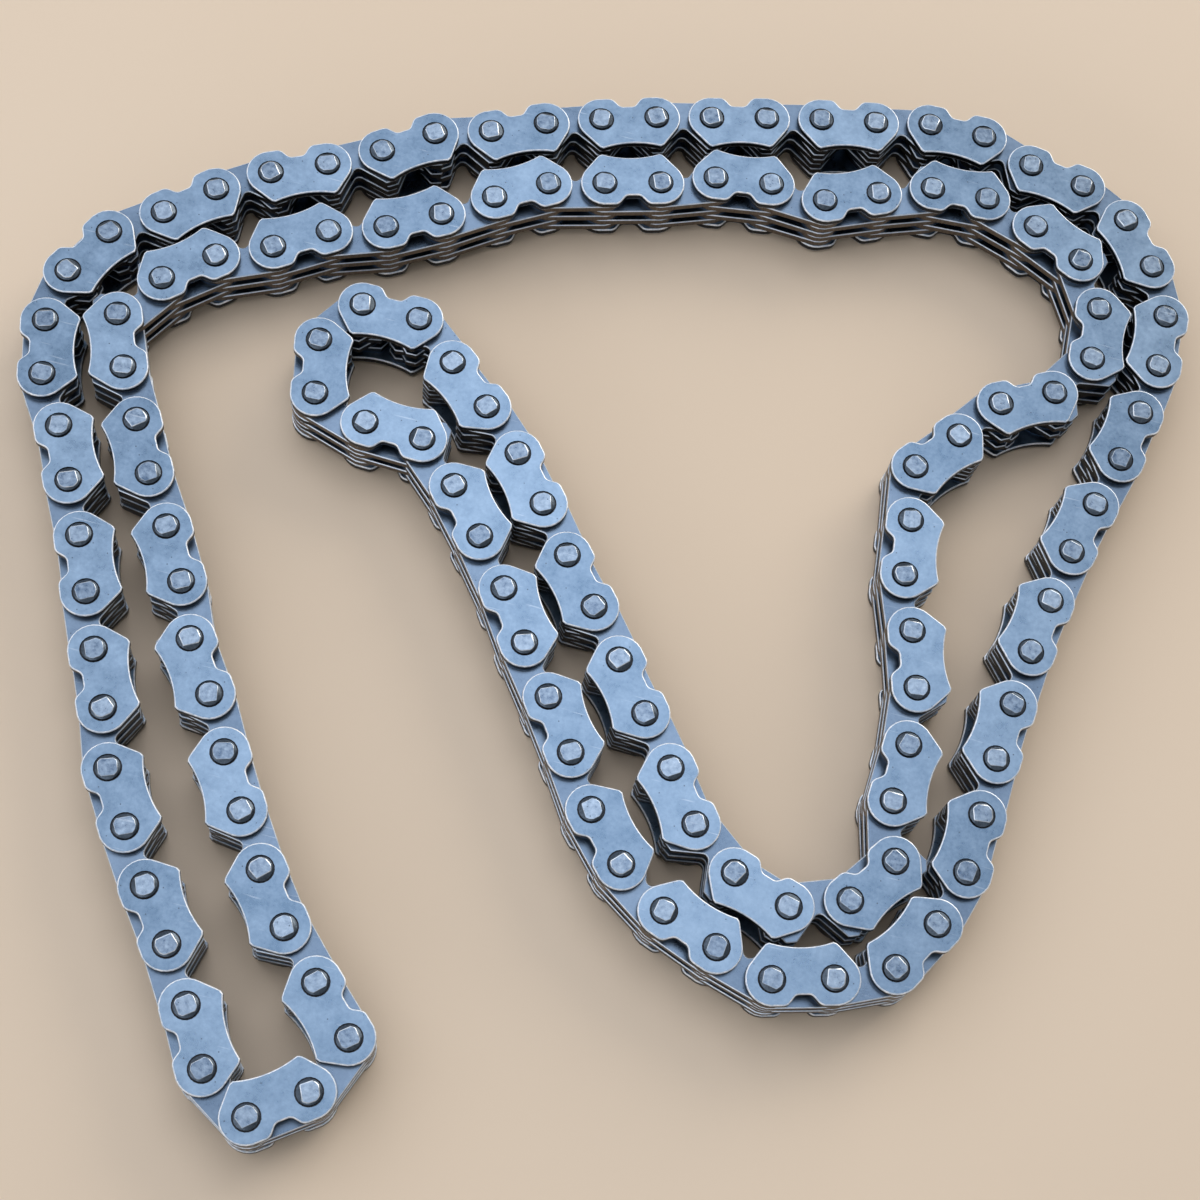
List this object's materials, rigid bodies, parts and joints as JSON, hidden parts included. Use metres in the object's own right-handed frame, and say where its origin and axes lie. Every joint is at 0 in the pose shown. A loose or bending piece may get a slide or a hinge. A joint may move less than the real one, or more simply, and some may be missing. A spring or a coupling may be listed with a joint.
{
  "type": "cam chain",
  "caption": "Endless inverted-tooth cam chain laid down in a folded loop: laced tooth plates, outer guide plates and riveted pins.",
  "frame": {"origin": "centre of the folded loop's outline in plan, at the height of the surface that its lower rivet heads lie on", "axes": "+Z along the pins, up from that surface; +X to the right and +Y away from the viewer as the picture shows the chain"},
  "size_m": [0.1246, 0.1326, 0.0077],
  "materials": {
    "tooth_plates": "tumbled and polished hardened steel, oiled",
    "guide_plates": "satin polished steel with bright worn rims",
    "rivet_pins": "ground steel pin with a spun rivet head"
  },
  "bodies": {
    "outer_top": {"outer_top_links": "tooth_plates", "outer_top_hinge_pin": "rivet_pins", "outer_top_upper_guide_plate": "guide_plates", "outer_top_lower_guide_plate": "guide_plates"},
    "outer_corner": {"outer_corner_links": "tooth_plates", "outer_corner_hinge_pin": "rivet_pins", "outer_corner_upper_guide_plate": "guide_plates", "outer_corner_lower_guide_plate": "guide_plates"},
    "outer_right": {"outer_right_links": "tooth_plates", "outer_right_hinge_pin": "rivet_pins", "outer_right_upper_guide_plate": "guide_plates", "outer_right_lower_guide_plate": "guide_plates"},
    "tongue_left": {"tongue_left_links": "tooth_plates", "tongue_left_hinge_pin": "rivet_pins", "tongue_left_upper_guide_plate": "guide_plates", "tongue_left_lower_guide_plate": "guide_plates"},
    "tongue_tip_left": {"tongue_tip_left_links": "tooth_plates", "tongue_tip_left_hinge_pin": "rivet_pins", "tongue_tip_left_upper_guide_plate": "guide_plates", "tongue_tip_left_lower_guide_plate": "guide_plates"},
    "tongue_tip_right": {"tongue_tip_right_links": "tooth_plates", "tongue_tip_right_hinge_pin": "rivet_pins", "tongue_tip_right_upper_guide_plate": "guide_plates", "tongue_tip_right_lower_guide_plate": "guide_plates"},
    "tongue_right": {"tongue_right_links": "tooth_plates", "tongue_right_hinge_pin": "rivet_pins", "tongue_right_upper_guide_plate": "guide_plates", "tongue_right_lower_guide_plate": "guide_plates"},
    "lower_bend": {"lower_bend_links": "tooth_plates", "lower_bend_hinge_pin": "rivet_pins", "lower_bend_upper_guide_plate": "guide_plates", "lower_bend_lower_guide_plate": "guide_plates"},
    "inner_right": {"inner_right_links": "tooth_plates", "inner_right_hinge_pin": "rivet_pins", "inner_right_upper_guide_plate": "guide_plates", "inner_right_lower_guide_plate": "guide_plates"},
    "inner_top_right": {"inner_top_right_links": "tooth_plates", "inner_top_right_hinge_pin": "rivet_pins", "inner_top_right_upper_guide_plate": "guide_plates", "inner_top_right_lower_guide_plate": "guide_plates"},
    "inner_top_left": {"inner_top_left_links": "tooth_plates", "inner_top_left_hinge_pin": "rivet_pins", "inner_top_left_upper_guide_plate": "guide_plates", "inner_top_left_lower_guide_plate": "guide_plates"},
    "inner_left": {"inner_left_links": "tooth_plates", "inner_left_hinge_pin": "rivet_pins", "inner_left_upper_guide_plate": "guide_plates", "inner_left_lower_guide_plate": "guide_plates"},
    "foot_right": {"foot_right_links": "tooth_plates", "foot_right_hinge_pin": "rivet_pins", "foot_right_upper_guide_plate": "guide_plates", "foot_right_lower_guide_plate": "guide_plates"},
    "foot_left": {"foot_left_links": "tooth_plates", "foot_left_hinge_pin": "rivet_pins", "foot_left_upper_guide_plate": "guide_plates", "foot_left_lower_guide_plate": "guide_plates"},
    "outer_left": {"outer_left_links": "tooth_plates", "outer_left_hinge_pin": "rivet_pins", "outer_left_upper_guide_plate": "guide_plates", "outer_left_lower_guide_plate": "guide_plates"}
  },
  "joints": [
    {"name": "outer_left_pivot", "type": "hinge", "parent": "outer_top", "child": "outer_left", "pos_m": [-0.0595, 0.01191, 0.00385], "axis": [0, 0, 1], "range_deg": [-4, 16]},
    {"name": "foot_left_pivot", "type": "hinge", "parent": "outer_left", "child": "foot_left", "pos_m": [-0.03802, -0.03391, 0.00385], "axis": [0, 0, 1], "range_deg": [-6.76, 1.7]},
    {"name": "foot_right_pivot", "type": "hinge", "parent": "foot_left", "child": "foot_right", "pos_m": [-0.02354, -0.05477, 0.00385], "axis": [0, 0, 1], "range_deg": [-10.46, 2.63]},
    {"name": "inner_left_pivot", "type": "hinge", "parent": "foot_right", "child": "inner_left", "pos_m": [-0.01653, -0.04502, 0.00385], "axis": [0, 0, 1], "range_deg": [-3.91, 15.6]},
    {"name": "inner_top_left_pivot", "type": "hinge", "parent": "inner_left", "child": "inner_top_left", "pos_m": [-0.04914, 0.02014, 0.00385], "axis": [0, 0, 1], "range_deg": [-14.41, 3.61]},
    {"name": "tongue_left_pivot", "type": "hinge", "parent": "outer_right", "child": "tongue_left", "pos_m": [0.00293, -0.01517, 0.00385], "axis": [0, 0, 1], "range_deg": [-16, 3]},
    {"name": "tongue_tip_left_pivot", "type": "hinge", "parent": "tongue_left", "child": "tongue_tip_left", "pos_m": [-0.01243, 0.00504, 0.00385], "axis": [0, 0, 1], "range_deg": [-1.52, 8.05]},
    {"name": "tongue_tip_right_pivot", "type": "hinge", "parent": "tongue_tip_left", "child": "tongue_tip_right", "pos_m": [-0.03082, 0.01766, 0.00385], "axis": [0, 0, 1], "range_deg": [-1.08, 5.72]},
    {"name": "tongue_right_pivot", "type": "hinge", "parent": "tongue_tip_right", "child": "tongue_right", "pos_m": [-0.01137, 0.01488, 0.00385], "axis": [0, 0, 1], "range_deg": [-12.05, 2.27]},
    {"name": "lower_bend_pivot", "type": "hinge", "parent": "tongue_right", "child": "lower_bend", "pos_m": [0.013, -0.01434, 0.00385], "axis": [0, 0, 1], "range_deg": [-2.69, 14.3]},
    {"name": "outer_corner_pivot", "type": "hinge", "parent": "outer_top", "child": "outer_corner", "pos_m": [0.05694, 0.05231, 0.00385], "axis": [0, 0, 1], "range_deg": [-1, 12]},
    {"name": "outer_right_pivot", "type": "hinge", "parent": "outer_corner", "child": "outer_right", "pos_m": [0.04963, -0.00962, 0.00385], "axis": [0, 0, 1], "range_deg": [-7.71, 0.66]},
    {"name": "inner_right_pivot", "type": "hinge", "parent": "lower_bend", "child": "inner_right", "pos_m": [0.04138, -0.02304, 0.00385], "axis": [0, 0, 1], "range_deg": [-0.63, 7.43]},
    {"name": "inner_top_right_pivot", "type": "hinge", "parent": "inner_right", "child": "inner_top_right", "pos_m": [0.0519, 0.0453, 0.00385], "axis": [0, 0, 1], "range_deg": [-11.73, 0.99]}
  ],
  "couplings": [
    {"joint": "foot_left_pivot", "follows": "outer_left_pivot", "ratio": -0.4217},
    {"joint": "foot_right_pivot", "follows": "outer_left_pivot", "ratio": -0.653},
    {"joint": "inner_left_pivot", "follows": "outer_left_pivot", "ratio": 0.9742},
    {"joint": "inner_top_left_pivot", "follows": "outer_left_pivot", "ratio": -0.8995},
    {"joint": "tongue_tip_left_pivot", "follows": "tongue_left_pivot", "ratio": -0.5022},
    {"joint": "tongue_tip_right_pivot", "follows": "tongue_left_pivot", "ratio": -0.3566},
    {"joint": "tongue_right_pivot", "follows": "tongue_left_pivot", "ratio": 0.7519},
    {"joint": "lower_bend_pivot", "follows": "tongue_left_pivot", "ratio": -0.8931},
    {"joint": "outer_right_pivot", "follows": "outer_corner_pivot", "ratio": -0.6414},
    {"joint": "inner_right_pivot", "follows": "outer_corner_pivot", "ratio": 0.618},
    {"joint": "inner_top_right_pivot", "follows": "outer_corner_pivot", "ratio": -0.9766}
  ]
}
